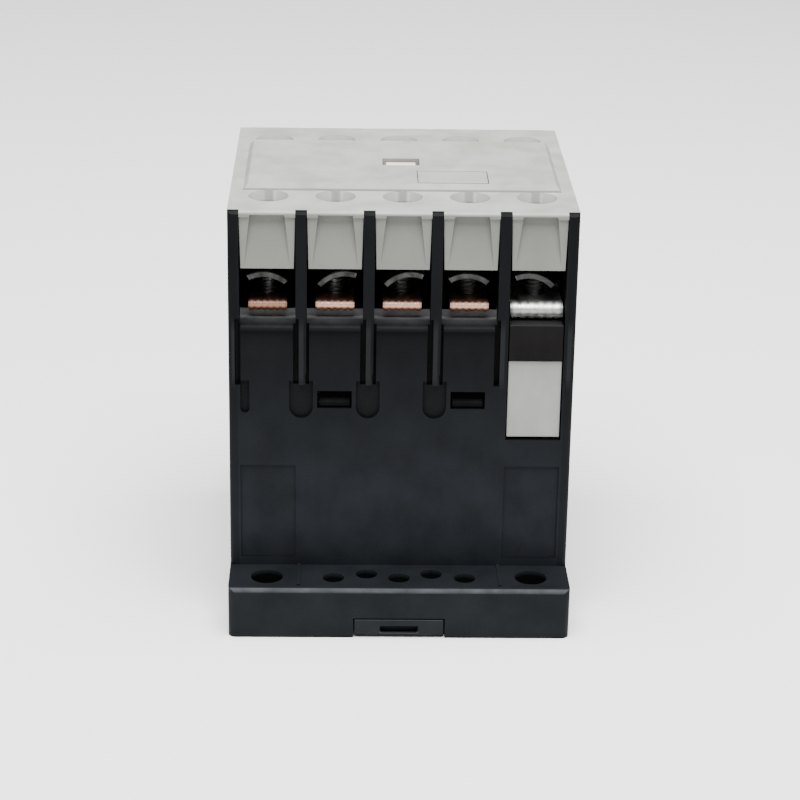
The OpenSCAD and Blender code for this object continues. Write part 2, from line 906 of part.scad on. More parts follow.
module tip_pair(i, z, height) {
    on_both_faces()
        bar(tip_size[0], [-tip_y - tip_size[1] / 2, -tip_y + tip_size[1] / 2], [z, z + height], bay_x(i));
}

module fixed_contact_tips() {
    color("#dcdde0")
        for (i = [1:poles])
            tip_pair(i, closes_when_pulled(i) ? strip_top : strip_z - fixed_tip_t, fixed_tip_t);
}

// A saddle washer: an arched plate, convex upwards, round the clamp screw.
// It is loose on the screw, so it leans at rest, and it lies level once the clamp is closed.
module saddle_washer(side, i) {
    reach = 2 * saddle_r;
    color("#b9bcc0")
        on_face(side)
            translate([bay_x(i), -screw_y, saddle_top_z])
                rotate([0, saddle_lean(side, i), 0])
                    difference() {
                        translate([0, 0, -saddle_r])
                            intersection() {
                                difference() {
                                    rod_y(saddle_len, saddle_r);
                                    rod_y(saddle_len + 2, saddle_r - saddle_t);
                                }
                                along_y(saddle_len + 1)
                                    polygon([
                                        [0, 0],
                                        [-reach * sin(saddle_half_angle), reach * cos(saddle_half_angle)],
                                        [reach * sin(saddle_half_angle), reach * cos(saddle_half_angle)]
                                    ]);
                            }
                        translate([0, 0, -saddle_r]) cylinder(r = saddle_hole_r, h = saddle_r + 1);
                    }
}

// A clamp screw with a cross-slotted cheese head.
module clamp_screw(side, i) {
    color("#9b9ea3")
        on_face(side)
            translate([bay_x(i), -screw_y, 0])
                difference() {
                    union() {
                        translate([0, 0, shank_bottom_z])
                            cylinder(d = screw_shank, h = screw_head_z - shank_bottom_z + 0.1);
                        translate([0, 0, screw_head_z]) cylinder(d = screw_head, h = screw_head_h);
                    }
                    for (turn = [0, 90])
                        rotate([0, 0, turn])
                            bar(drive_slot[0], [-screw_head, screw_head],
                                [screw_top_z - drive_slot[1], screw_top_z + 1]);
                }
}

// ---- Contact carrier ----

module contact_carrier() {
    left_pole = [carrier_x[0], divider_x(1) + 0.4];
    color("#e0ded6")
        difference() {
            union() {
                span([left_pole[0], -carrier_half_y, carrier_side_z],
                    [left_pole[1], carrier_half_y, carrier_top]);
                span([-core_half_x, -carrier_half_y, armature_z + armature_h],
                    [carrier_x[1], carrier_half_y, carrier_top]);
                bar(indicator[0], [-1, 1] * indicator[1] / 2, [carrier_top - eps, indicator_top]);
                on_both_faces() {
                    bar(2 * strap_x, [-strap_y[1], 0], [armature_z + armature_h, floor_top - 1]);
                    bar(2 * strap_x, [-strap_y[1], -strap_y[0]], [armature_z, floor_top - 1]);
                    bar(2 * strap_x, [-foot_y, -strap_y[0]], foot_z);
                }
            }
            for (i = [1:poles])
                bar(window_w, [-carrier_half_y - 1, carrier_half_y + 1], window_z(i), bay_x(i));
            translate([0, 0, pin_z]) rod_y(2 * foot_y, pin_r);
        }
}

module contact_bridge(i) {
    color("#c67a44")
        difference() {
            bar(bridge_w, [-1, 1] * bridge_len / 2, [bridge_z(i), bridge_z(i) + bridge_t], bay_x(i));
            for (x = [-1, 1])
                for (y = [-1, 1])
                    translate([bay_x(i) + x * bridge_w / 2, y * bridge_len / 2, bridge_z(i) - 1])
                        rotate([0, 0, 45]) cube([2 * bridge_corner, 2 * bridge_corner, 4], center = true);
        }
}

module bridge_tips(i) {
    z = closes_when_pulled(i) ? bridge_z(i) - bridge_tip_t : bridge_z(i) + bridge_t;
    color("#dcdde0") tip_pair(i, z, bridge_tip_t);
}

module contact_spring(i) {
    start = closes_when_pulled(i) ? bridge_z(i) + bridge_t : window_z(i)[0];
    color("#a3a6aa")
        translate([bay_x(i), 0, start]) coil_spring(contact_spring_r, contact_wire, spring_room, 4.5);
}

// ---- Rail latch ----

// The sliding latch: its hook reaches under the rail's lip, and its wings guide it in the base.
module rail_latch() {
    color("#33363b")
        difference() {
            union() {
                along_x(2 * latch_w)
                    polygon([
                        [half_flange, latch_z[0]],
                        [-latch_tip_y + 1.2, latch_z[0]],
                        [-latch_tip_y, latch_hook_z - 0.7],
                        [-latch_tip_y, latch_hook_z],
                        [-latch_hook_y, latch_hook_z],
                        [-latch_hook_y, latch_z[1]],
                        [half_flange, latch_z[1]]
                    ]);
                bar(2 * latch_wing, latch_wing_y, latch_wing_z);
            }
            bar(latch_slot_w, [post_y[0] - 0.2, latch_spring_end], [-1, flange_h]);
            bar(finger_slot_w, [-half_flange - 1, -half_flange + 1], finger_slot_z);
        }
}

module latch_spring() {
    color("#a3a6aa")
        translate([0, post_y[1], (latch_z[0] + latch_z[1]) / 2])
            rotate([-90, 0, 0])
                coil_spring(latch_spring_r, latch_wire, latch_spring_end - post_y[1], 7, 6, 12);
}

// ---- Nodes ----

mounting_base();
main_housing();
front_cover();
marking_plate();
coil_label();
stator_core();
shading_rings();
damper_pad();
coil_bobbin();
coil_winding();
winding_tape();
coil_terminal("rear");  // coil_terminal_a1
coil_terminal("front");  // coil_terminal_a2
for (s = SIDES)
    for (i = [1:poles])
        fixed_contact(s, i);
fixed_contact_tips();
contact_carrier();
armature();
armature_pin();
return_springs();
for (i = [1:poles]) {
    contact_bridge(i);
    bridge_tips(i);
    contact_spring(i);
}
rail_latch();
latch_spring();
for (s = SIDES)
    for (i = [1:bays]) {
        clamp_screw(s, i);
        saddle_washer(s, i);
    }
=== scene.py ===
import json
import math

import bpy
from mathutils import Matrix, Vector


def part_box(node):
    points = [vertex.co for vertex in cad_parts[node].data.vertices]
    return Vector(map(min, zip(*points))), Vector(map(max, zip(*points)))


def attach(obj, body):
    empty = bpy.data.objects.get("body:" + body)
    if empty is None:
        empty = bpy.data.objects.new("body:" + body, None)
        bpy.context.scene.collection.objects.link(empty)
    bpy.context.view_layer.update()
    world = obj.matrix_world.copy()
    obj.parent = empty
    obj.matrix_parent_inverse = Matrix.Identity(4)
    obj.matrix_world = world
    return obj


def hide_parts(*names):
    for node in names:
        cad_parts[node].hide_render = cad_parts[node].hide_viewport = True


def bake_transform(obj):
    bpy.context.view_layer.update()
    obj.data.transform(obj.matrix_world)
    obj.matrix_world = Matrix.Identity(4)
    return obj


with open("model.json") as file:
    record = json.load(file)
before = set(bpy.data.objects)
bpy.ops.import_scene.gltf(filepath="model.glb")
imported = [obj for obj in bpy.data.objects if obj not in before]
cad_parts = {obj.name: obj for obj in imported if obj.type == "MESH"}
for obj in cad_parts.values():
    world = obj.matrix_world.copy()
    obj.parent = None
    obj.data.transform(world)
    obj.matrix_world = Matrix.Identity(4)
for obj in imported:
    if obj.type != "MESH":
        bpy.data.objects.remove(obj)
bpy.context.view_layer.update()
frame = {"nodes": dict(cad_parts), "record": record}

MM = 0.001
BAYS = 5
POLES = 4
SIDES = ("front", "rear")
NODES = frame["nodes"]
MATERIALS = {}


# ---- Places that the tints refer to, in millimetres from the middle or above the mounting plane ----

def lowest_mm(node):
    """The lowest corner of a node's box."""
    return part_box(node)[0] / MM


def highest_mm(node):
    """The highest corner of a node's box."""
    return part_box(node)[1] / MM


SIDE_X = highest_mm("main_housing").x  # the outer sides of the side walls
FACE_Y = highest_mm("main_housing").y  # the front and rear of the housing
FLANGE_Y = highest_mm("mounting_base").y
FLANGE_Z = lowest_mm("main_housing").z  # the top of the flange, which the housing stands on
COVER_Z = highest_mm("front_cover").z
SCREW_Y = (lowest_mm("clamp_screw_rear_1").y + highest_mm("clamp_screw_rear_1").y) / 2
BAY_PITCH = lowest_mm("clamp_screw_front_2").x - lowest_mm("clamp_screw_front_1").x
LEDGE_Z = 40.8  # the ledges at the bottom of the bays
NOSE_Y = 18.9  # the axes of the rounded noses of the terminals
NOSE_Z = 43.0
COIL_NOSE_Z = 42.56


# ---- Materials ----

WAVE_PERIOD = 0.314  # of the wave texture at a scale of 1


class Look:
    """A procedural material under construction: its shader nodes and its coordinates in the frame.

    A factor is a socket that runs from 0 to 1.
    """

    def __init__(self, name):
        self.material = bpy.data.materials.new(name)
        self.material.use_nodes = True
        self.tree = self.material.node_tree
        self.tree.nodes.clear()
        self.main = self.tree.nodes.new("ShaderNodeBsdfPrincipled")
        output = self.tree.nodes.new("ShaderNodeOutputMaterial")
        self.link(self.main.outputs[0], output.inputs[0])
        self.coords = self.tree.nodes.new("ShaderNodeTexCoord").outputs["Object"]
        self.tone = None
        self.normal = None
        MATERIALS[name] = self.material

    def link(self, source, target):
        self.tree.links.new(source, target)

    def set(self, **values):
        for name, value in values.items():
            self.main.inputs[name.replace("_", " ")].default_value = value

    def node(self, kind, **settings):
        made = self.tree.nodes.new("ShaderNode" + kind)
        for name, value in settings.items():
            setattr(made, name, value)
        return made

    def scaled(self, scale):
        """The coordinates stretched by a vector, so that a pattern can run along one axis."""
        mapping = self.node("Mapping")
        mapping.inputs["Scale"].default_value = scale
        self.link(self.coords, mapping.inputs["Vector"])
        return mapping.outputs[0]

    def noise(self, size_mm, detail, stretch=None):
        """Noise whose features are about size_mm across."""
        made = self.node("TexNoise")
        made.inputs["Scale"].default_value = 1 / (size_mm * MM)
        made.inputs["Detail"].default_value = detail
        self.link(self.scaled(stretch) if stretch else self.coords, made.inputs["Vector"])
        return made.outputs["Fac"]

    def bands(self, size_mm, axis, distortion=0.0):
        """Stripes across one axis, one every size_mm."""
        made = self.node("TexWave", wave_type="BANDS", bands_direction=axis, wave_profile="SIN")
        made.inputs["Scale"].default_value = WAVE_PERIOD / (size_mm * MM)
        made.inputs["Distortion"].default_value = distortion
        self.link(self.coords, made.inputs["Vector"])
        return made.outputs["Fac"]

    def ramp(self, factor, low, high, low_value, high_value):
        """Maps factor from low..high to low_value..high_value, and holds it there outside."""
        made = self.node("MapRange", clamp=True)
        limits = {"From Min": low, "From Max": high, "To Min": low_value, "To Max": high_value}
        for name, value in limits.items():
            made.inputs[name].default_value = value
        self.link(factor, made.inputs["Value"])
        return made.outputs["Result"]

    def part(self, vector, axis):
        """One axis of a vector."""
        split = self.node("SeparateXYZ")
        self.link(vector, split.inputs[0])
        return split.outputs[axis]

    def along(self, axis, low_mm, high_mm):
        """A factor that rises from 0 to 1 between two places on an axis."""
        return self.ramp(self.part(self.coords, axis), low_mm * MM, high_mm * MM, 0, 1)

    def outside(self, axis, low_mm, high_mm):
        """A factor that rises from 0 to 1 with the distance from the middle along an axis."""
        size = self.node("Math", operation="ABSOLUTE")
        self.link(self.part(self.coords, axis), size.inputs[0])
        return self.ramp(size.outputs[0], low_mm * MM, high_mm * MM, 0, 1)

    def facing_up(self, low, high):
        """A factor that rises from 0 to 1 with the upward part of the face's normal."""
        return self.ramp(self.part(self.node("NewGeometry").outputs["True Normal"], "Z"), low, high, 0, 1)

    def bevels(self):
        """1 on bevels and slopes that face upwards, 0 on upright and level faces."""
        return self.product(self.facing_up(0.15, 0.4), self.inverse(self.facing_up(0.9, 0.97)))

    def near_dividers(self, half_mm):
        """1 close to the middle of each divider between the bays, falling to 0 at half_mm from it."""
        turned = self.product(self.part(self.coords, "X"), math.tau / (BAY_PITCH * MM))
        wave = self.node("Math", operation="COSINE")
        self.link(turned, wave.inputs[0])
        edge = -math.cos(math.tau * half_mm / BAY_PITCH)
        return self.ramp(wave.outputs[0], 0.5 * (edge - 1), edge, 1, 0)

    def product(self, first, *others):
        """The product of several factors, each a socket or a number."""
        for other in others:
            made = self.node("Math", operation="MULTIPLY")
            for index, value in enumerate((first, other)):
                if isinstance(value, bpy.types.NodeSocket):
                    self.link(value, made.inputs[index])
                else:
                    made.inputs[index].default_value = value
            first = made.outputs[0]
        return first

    def inverse(self, factor):
        """1 where the factor is 0, and 0 where it is 1."""
        return self.ramp(factor, 0, 1, 1, 0)

    def mix(self, factor, first, second):
        """Mixes two colours, each given as a colour or as a socket."""
        made = self.node("Mix", data_type="RGBA")
        self.link(factor, made.inputs["Factor"])
        for name, value in (("A", first), ("B", second)):
            target = [entry for entry in made.inputs if entry.name == name and entry.type == "RGBA"][0]
            if isinstance(value, bpy.types.NodeSocket):
                self.link(value, target)
            else:
                target.default_value = (*value, 1)
        return [entry for entry in made.outputs if entry.type == "RGBA"][0]

    def bump(self, height, depth_mm, strength=1.0):
        """Adds a height pattern to the bumps so far."""
        made = self.node("Bump")
        made.inputs["Strength"].default_value = strength
        made.inputs["Distance"].default_value = depth_mm * MM
        self.link(height, made.inputs["Height"])
        if self.normal:
            self.link(self.normal, made.inputs["Normal"])
        self.normal = made.outputs[0]
        self.link(self.normal, self.main.inputs["Normal"])

    def colour(self, socket):
        """Makes a socket the colour so far."""
        self.tone = socket
        self.link(socket, self.main.inputs["Base Color"])

    def tint(self, factor, shade, share=1.0):
        """Mixes up to a share of a shade into the colour so far."""
        self.colour(self.mix(self.product(factor, share), self.tone, shade))

    def roughness(self, socket):
        self.link(socket, self.main.inputs["Roughness"])


GRAIN_MM = 0.22
BLACK = {"rough": (0.5, 0.68), "specular": 0.05}


def moulded_plastic(name, base, light, rough=(0.42, 0.58), depth_mm=0.012, specular=0.5):
    """Injection-moulded plastic: a spark-eroded grain, a cloudy tone, fine specks and faint flow marks."""
    look = Look(name)
    look.set(Specular_IOR_Level=specular)
    clouds = look.ramp(look.noise(5, 4), 0.36, 0.66, 0, 1)
    flow_marks = look.ramp(look.noise(3, 3, stretch=(1, 1, 0.25)), 0.45, 0.7, 0, 0.5)
    specks = look.ramp(look.noise(0.4, 2), 0.6, 0.75, 0, 0.5)
    look.colour(look.mix(clouds, base, light))
    look.tint(flow_marks, light)
    look.tint(specks, light)
    look.roughness(look.ramp(look.noise(3, 5, stretch=(1, 1, 0.3)), 0.3, 0.7, *rough))
    look.bump(look.noise(GRAIN_MM, 2), depth_mm)
    look.bump(look.noise(9, 2), 0.05, 0.5)
    return look


def plated_metal(name, base, dark, rough=(0.22, 0.4), stretch=(1, 1, 1)):
    """Plated or bare metal: drawn streaks, dull patches and small dents."""
    look = Look(name)
    look.set(Metallic=1.0)
    patches = look.ramp(look.noise(1.4, 5), 0.42, 0.7, 0, 1)
    look.colour(look.mix(patches, base, dark))
    look.roughness(look.ramp(look.noise(0.7, 4, stretch=stretch), 0.3, 0.7, *rough))
    look.bump(look.noise(0.25, 3, stretch=stretch), 0.012)
    return look


def make_housing_plastic():
    """Near-black, with painted shade towards its top, in its recesses, on the fronts of its side walls and
    on faces that look upward, and painted highlights on the dividers, on upward bevels and on the ledges.
    """
    look = moulded_plastic("housing_plastic", (0.0085, 0.0096, 0.0118), (0.0125, 0.0140, 0.0168), **BLACK)
    # Painted shade: the body is darkened towards its top.
    painted_top_shade = look.along("Z", 14, 37)
    look.tint(painted_top_shade, (0.0020, 0.0023, 0.0028), share=0.75)

    side_walls = look.outside("X", SIDE_X - 1.3, SIDE_X - 1.1)
    between_walls = look.inverse(side_walls)
    # Painted shade in the recesses between the side walls.
    painted_recess_shade = look.inverse(look.outside("Y", FACE_Y - 0.7, FACE_Y - 0.28))
    look.tint(look.product(painted_recess_shade, between_walls), (0.0010, 0.0011, 0.0013), share=0.8)
    # Painted shade on the fronts of the side walls.
    painted_wall_shade = look.product(side_walls, look.outside("Y", FACE_Y - 0.4, FACE_Y - 0.2))
    look.tint(painted_wall_shade, (0.0020, 0.0023, 0.0026), share=0.35)

    # Painted highlight: a lighter stripe down the middle of each divider's front, below the ledges.
    below_ledges = look.product(look.along("Z", 32, 34), look.inverse(look.along("Z", 40, 42)))
    outer_faces = look.outside("Y", FACE_Y - 0.1, FACE_Y - 0.02)
    painted_divider_highlight = look.product(look.near_dividers(0.36), below_ledges, outer_faces)
    look.tint(painted_divider_highlight, (0.0110, 0.0118, 0.0130))
    # Painted shade: faces that look upward are darkened.
    look.tint(look.facing_up(0.3, 0.9), (0.0012, 0.0013, 0.0015), share=0.9)
    # Painted highlight on upward bevels from the height of the ledges up.
    painted_bevel_highlight = look.product(look.bevels(), look.along("Z", 36, 40))
    look.tint(painted_bevel_highlight, (0.0050, 0.0053, 0.0057))
    add_painted_ledge_light(look, between_walls)


def add_painted_ledge_light(look, between_walls):
    """Painted light on the ledges of the bays, greyish and broken up by noise, strongest at their backs
    and weak at their fronts.
    """
    back_to_middle = look.outside("Y", FACE_Y - 2.8, FACE_Y - 2.1)
    middle_to_front = look.outside("Y", FACE_Y - 2.1, FACE_Y - 0.9)
    ledge_light = look.mix(back_to_middle, (0.150, 0.152, 0.156), (0.034, 0.035, 0.0365))
    ledge_light = look.mix(middle_to_front, ledge_light, (0.0095, 0.0100, 0.0106))
    under_strips = look.inverse(look.along("Z", LEDGE_Z + 1.2, LEDGE_Z + 2.2))
    ledge_heights = look.product(look.along("Z", LEDGE_Z - 2.8, LEDGE_Z - 0.8), under_strips)
    outside_body = look.outside("Y", FACE_Y - 3.3, FACE_Y - 3.2)
    ledges = look.product(ledge_heights, between_walls, outside_body)
    patchy = look.ramp(look.noise(1.5, 4), 0.3, 0.7, 0.65, 1)
    look.tint(look.product(ledges, look.facing_up(0.6, 0.9), patchy), ledge_light)

    # More painted light, higher up at the backs of the ledges.
    raised = look.along("Z", LEDGE_Z + 0.2, LEDGE_Z + 0.4)
    at_back = look.inverse(look.outside("Y", FACE_Y - 2.8, FACE_Y - 2.4))
    look.tint(look.product(ledges, raised, at_back, patchy), (0.135, 0.136, 0.140))


def make_base_plastic():
    """Near-black, with painted shade on level faces, on the walls of the holes and on the hooks inside the
    housing, and a painted highlight along the bevel of the flange.
    """
    look = moulded_plastic("base_plastic", (0.0068, 0.0080, 0.0094), (0.0100, 0.0115, 0.0133), **BLACK)
    # Painted shade: level faces are darkened.
    shaded_level_faces = look.facing_up(0.9, 0.97)
    look.tint(shaded_level_faces, (0.0030, 0.0034, 0.0042), share=0.35)

    # Painted shade on the walls of the holes in the flange.
    on_flange = look.outside("Y", FACE_Y + 0.2, FACE_Y + 0.5)
    off_front = look.inverse(look.outside("Y", FLANGE_Y - 0.6, FLANGE_Y - 0.4))
    off_sides = look.inverse(look.outside("X", SIDE_X - 0.5, SIDE_X - 0.3))
    under_top = look.inverse(look.along("Z", FLANGE_Z - 0.7, FLANGE_Z - 0.2))
    painted_flange_hole_shade = look.product(on_flange, off_front, off_sides, under_top)
    look.tint(painted_flange_hole_shade, (0.0010, 0.0011, 0.0013))

    # Painted highlight along the upward bevels of the flange, broken up by noise.
    highlight_breakup = look.ramp(look.noise(2, 4), 0.3, 0.7, 0.5, 1)
    flange_bevels = look.product(look.bevels(), look.outside("Y", FACE_Y, FACE_Y + 0.3))
    look.tint(look.product(flange_bevels, highlight_breakup), (0.050, 0.053, 0.057))

    # Painted shade on the parts of the base inside the housing, such as the hooks.
    inside_housing = look.inverse(look.outside("Y", FACE_Y - 0.1, FACE_Y - 0.02))
    hooks = look.product(inside_housing, look.along("Z", FLANGE_Z + 0.1, FLANGE_Z + 0.3))
    look.tint(hooks, (0.0008, 0.0009, 0.0010), share=0.9)


def make_bobbin_plastic():
    """Reddish black, with painted highlights on its bevels and painted light on the shoulder in front of
    each coil terminal.
    """
    look = moulded_plastic("bobbin_plastic", (0.0046, 0.0040, 0.0043), (0.0075, 0.0068, 0.0071), **BLACK)
    # Painted highlight on upward bevels.
    look.tint(look.bevels(), (0.020, 0.019, 0.020), share=0.8)
    # Painted light on the level shoulder in front of each coil terminal.
    painted_shoulder_light = look.product(look.outside("Y", FACE_Y - 4.3, FACE_Y - 3.8), look.facing_up(0.6, 0.9))
    look.tint(painted_shoulder_light, (0.014, 0.014, 0.014))


def make_latch_plastic():
    """Near-black, with a painted highlight on its upward bevels."""
    look = moulded_plastic("latch_plastic", (0.0100, 0.0112, 0.0130), (0.0140, 0.0154, 0.0175), **BLACK)
    # Painted highlight on upward bevels.
    look.tint(look.bevels(), (0.05, 0.053, 0.057))


def make_cover_plastic():
    """Pale grey, with painted shade on the upright tabs, down the screwdriver holes and on the rims of the
    holes.
    """
    look = moulded_plastic("cover_plastic", (0.250, 0.252, 0.226), (0.325, 0.325, 0.312),
                           rough=(0.42, 0.55), depth_mm=0.006, specular=0.3)
    # Painted shade on the upright faces of the tabs.
    upright = look.inverse(look.facing_up(0.3, 0.8))
    on_tabs = look.outside("Y", FACE_Y - 1.7, FACE_Y - 1.5)
    look.tint(look.product(upright, on_tabs), (0.115, 0.118, 0.106), share=0.78)

    # Painted shade down the screwdriver holes, darkest deep in them.
    before_row = look.outside("Y", SCREW_Y - 2.8, SCREW_Y - 2.7)
    after_row = look.inverse(look.outside("Y", SCREW_Y + 2.7, SCREW_Y + 2.8))
    hole_row = look.product(before_row, after_row)
    deep_to_rim = look.along("Z", COVER_Z - 2.8, COVER_Z - 2.0)
    hole_shade = look.mix(deep_to_rim, (0.05, 0.05, 0.048), (0.50, 0.50, 0.47))
    look.tint(look.product(hole_row, upright), hole_shade)
    # Painted shade on the bevels round the screwdriver holes.
    look.tint(look.product(hole_row, look.bevels()), (0.06, 0.06, 0.055), share=0.8)


def make_plate_plastic():
    """The marking plate: pale grey, with painted shade on its edges."""
    look = moulded_plastic("plate_plastic", (0.275, 0.277, 0.258), (0.325, 0.325, 0.31), rough=(0.3, 0.4),
                           depth_mm=0.003)
    # Painted shade: faces that don't look upward are near black.
    edges = look.inverse(look.facing_up(0.05, 0.3))
    look.tint(edges, (0.01, 0.01, 0.01))


def make_label_film():
    """Blank white film with a faint crosswise grain."""
    look = moulded_plastic("label_film", (0.220, 0.222, 0.208), (0.255, 0.257, 0.245), rough=(0.34, 0.46),
                           depth_mm=0.002, specular=0.3)
    look.bump(look.noise(0.12, 4, stretch=(1, 1, 4)), 0.004)


def make_tape_film():
    """Amber film in overlapping turns."""
    look = moulded_plastic("tape_film", (0.62, 0.46, 0.10), (0.70, 0.54, 0.15), rough=(0.22, 0.34),
                           depth_mm=0.002)
    look.bump(look.bands(4.3, "Z", 0.4), 0.05)


def make_carrier_plastic():
    """Cream, fairly smooth."""
    moulded_plastic("carrier_plastic", (0.60, 0.57, 0.49), (0.66, 0.63, 0.55), rough=(0.35, 0.5),
                    depth_mm=0.005)


def make_pad_rubber():
    """Dull black."""
    moulded_plastic("pad_rubber", (0.012, 0.012, 0.012), (0.02, 0.02, 0.02), rough=(0.7, 0.85),
                    specular=0.3)


def make_contact_copper():
    """Streaked copper, darker in the first bay, with a painted highlight round the nose and painted shade
    under it and on its top.
    """
    look = plated_metal("contact_copper", (0.72, 0.43, 0.31), (0.46, 0.22, 0.13), rough=(0.42, 0.55),
                        stretch=(1, 0.1, 0.1))
    streaks = look.ramp(look.noise(0.55, 3, stretch=(1, 0.08, 0.08)), 0.35, 0.65, 0, 0.75)
    look.tint(streaks, (0.40, 0.20, 0.13))

    nose = look.outside("Y", NOSE_Y - 1.3, NOSE_Y - 0.7)
    # Painted highlight round the nose.
    look.tint(nose, (0.95, 0.66, 0.53), share=0.6)
    # Darker in the first bay.
    first_bay = look.inverse(look.along("X", -14, -13))
    look.tint(first_bay, (0.20, 0.10, 0.07), share=0.65)
    # Painted shade under the nose.
    painted_nose_underside_shade = look.inverse(look.along("Z", NOSE_Z - 0.15, NOSE_Z + 0.15))
    look.tint(look.product(nose, painted_nose_underside_shade), (0.11, 0.037, 0.016), share=0.9)
    # Painted shade on the top of the nose, in place of its reflection of the lamp.
    painted_nose_top_shade = look.along("Z", NOSE_Z + 0.17, NOSE_Z + 0.52)
    look.tint(look.product(nose, painted_nose_top_shade), (0.11, 0.055, 0.04), share=0.9)


def make_tinned_metal():
    """Bright tin, with painted shade across the lower part of the nose."""
    look = plated_metal("tinned_metal", (0.92, 0.92, 0.90), (0.74, 0.73, 0.71), rough=(0.4, 0.54),
                        stretch=(1, 0.15, 0.15))
    nose = look.outside("Y", NOSE_Y - 1.3, NOSE_Y - 0.7)
    lower_half = look.inverse(look.along("Z", COIL_NOSE_Z - 0.16, COIL_NOSE_Z + 0.59))
    above_foot = look.along("Z", COIL_NOSE_Z - 0.61, COIL_NOSE_Z - 0.31)
    # Painted shade across the lower part of the nose.
    look.tint(look.product(nose, lower_half, above_foot), (0.15, 0.15, 0.146))


def make_washer_steel():
    """Dark steel, with a painted highlight at the two ends of each washer."""
    look = plated_metal("washer_steel", (0.058, 0.058, 0.057), (0.024, 0.024, 0.023), rough=(0.38, 0.52))
    # Painted highlight at the ends of each washer, near the dividers.
    look.tint(look.near_dividers(1.9), (0.19, 0.19, 0.186))


def make_core_steel():
    """Steel with the edges of its laminations."""
    look = plated_metal("core_steel", (0.36, 0.36, 0.37), (0.24, 0.23, 0.22), rough=(0.35, 0.5))
    look.bump(look.bands(0.5, "Y"), 0.06)


def make_plain_metals():
    """The metals that need nothing beyond their two tones."""
    plated_metal("ring_copper", (0.90, 0.46, 0.29), (0.55, 0.24, 0.13))
    plated_metal("winding_copper", (0.60, 0.22, 0.08), (0.42, 0.13, 0.05), rough=(0.2, 0.3))
    plated_metal("contact_silver", (0.93, 0.92, 0.90), (0.75, 0.73, 0.70))
    plated_metal("screw_steel", (0.29, 0.29, 0.29), (0.19, 0.19, 0.187), rough=(0.34, 0.5))
    plated_metal("spring_steel", (0.58, 0.58, 0.57), (0.40, 0.40, 0.39))
    plated_metal("pin_steel", (0.66, 0.66, 0.66), (0.48, 0.48, 0.48), rough=(0.18, 0.3))


def make_materials():
    make_housing_plastic()
    make_base_plastic()
    make_bobbin_plastic()
    make_latch_plastic()
    make_cover_plastic()
    make_plate_plastic()
    make_label_film()
    make_tape_film()
    make_carrier_plastic()
    make_pad_rubber()
    make_contact_copper()
    make_tinned_metal()
    make_washer_steel()
    make_core_steel()
    make_plain_metals()


# ---- Mesh helpers ----

SHARP_ANGLE = math.radians(38)


def new_piece(name, slot, verts, faces):
    """A smooth-shaded mesh object with the material of a slot, from points in metres."""
    mesh = bpy.data.meshes.new(name)
    mesh.from_pydata(verts, [], faces)
    mesh.materials.append(MATERIALS[slot])
    mesh.shade_smooth()
    mesh.set_sharp_from_angle(angle=SHARP_ANGLE)
    obj = bpy.data.objects.new(name, mesh)
    bpy.context.scene.collection.objects.link(obj)
    return obj


def copy_piece(source, name, place):
    """A copy of a piece made round the origin, moved to its place by a matrix."""
    obj = bpy.data.objects.new(name, source.data.copy())
    bpy.context.scene.collection.objects.link(obj)
    obj.data.transform(place)
    return obj


def grid_faces(rows, columns, closed=False):
    """Quads between closed rings of points; closed joins the last ring to the first."""
    faces = []
    for row in range(rows if closed else rows - 1):
        here = row * columns
        after = (row + 1) % rows * columns
        for column in range(columns):
            beside = (column + 1) % columns
            faces.append((here + column, here + beside, after + beside, after + column))
    return faces


def cap_faces(rows, columns):
    """The two end faces of an open stack of rings."""
    last = (rows - 1) * columns
    return [tuple(reversed(range(columns))), tuple(range(last, last + columns))]


def cut(obj, cutter):
    """Takes one solid away from another, and removes the cutter."""
    boolean = obj.modifiers.new("cut", "BOOLEAN")
    boolean.operation = "DIFFERENCE"
    boolean.solver = "EXACT"
    boolean.object = cutter
    bpy.context.view_layer.update()
    mesh = bpy.data.meshes.new_from_object(obj.evaluated_get(bpy.context.evaluated_depsgraph_get()))
    obj.modifiers.clear()
    obj.data = mesh
    bpy.data.objects.remove(cutter)


# ---- Clamp screws: threaded shanks and rounded cross-slotted heads ----

THREAD_PITCH = 0.5 * MM
THREAD_DEPTH = 0.22 * MM
SHANK_R = 1.44 * MM
TIP_R = 0.6 * SHANK_R
TIP_H = 0.3 * MM
HEAD_H = 2.3 * MM
HEAD_CHAMFER = 0.15 * MM
HEAD_ROUND = 0.45 * MM
HEAD_STEPS = 5
HEAD_MIDDLE = 0.3  # the radius of the innermost ring, as a share of the head's
SLOT_W = 0.8 * MM
SLOT_DEPTH = 1.1 * MM
LONG_SLOT = 1.2  # half the length of each slot, as a share of the head's radius
SHORT_SLOT = 0.62
SLOT_FLOOR = 0.42  # half the width at the floor and above the mouth, as a share of SLOT_W
SLOT_MOUTH = 0.58
SCREW_SIDES = 40
ROWS_PER_TURN = 6
FIRST_TURN = {"front": 20, "rear": 63}  # degrees
NEXT_TURN = 109  # degrees from one screw to the next


def screw_profile(height, head_r):
    """Rows of (radius, height, thread depth) from the end of the shank to the top of the head."""
    neck = height - HEAD_H
    thread = neck - TIP_H
    rows = [(TIP_R, 0, 0)]
    count = int(thread / THREAD_PITCH * ROWS_PER_TURN)
    for step in range(count + 1):
        run_out = min(1, step / ROWS_PER_TURN, (count - step) / ROWS_PER_TURN)
        rows.append((SHANK_R, TIP_H + thread * step / count, THREAD_DEPTH * run_out))
    rows += [(head_r - HEAD_CHAMFER, neck, 0), (head_r, neck + HEAD_CHAMFER, 0)]
    for step in range(HEAD_STEPS + 1):
        angle = math.radians(90 * step / HEAD_STEPS)
        inward = HEAD_ROUND * (1 - math.cos(angle))
        rows.append((head_r - inward, height - HEAD_ROUND * (1 - math.sin(angle)), 0))
    rows.append((HEAD_MIDDLE * head_r, height, 0))
    return rows


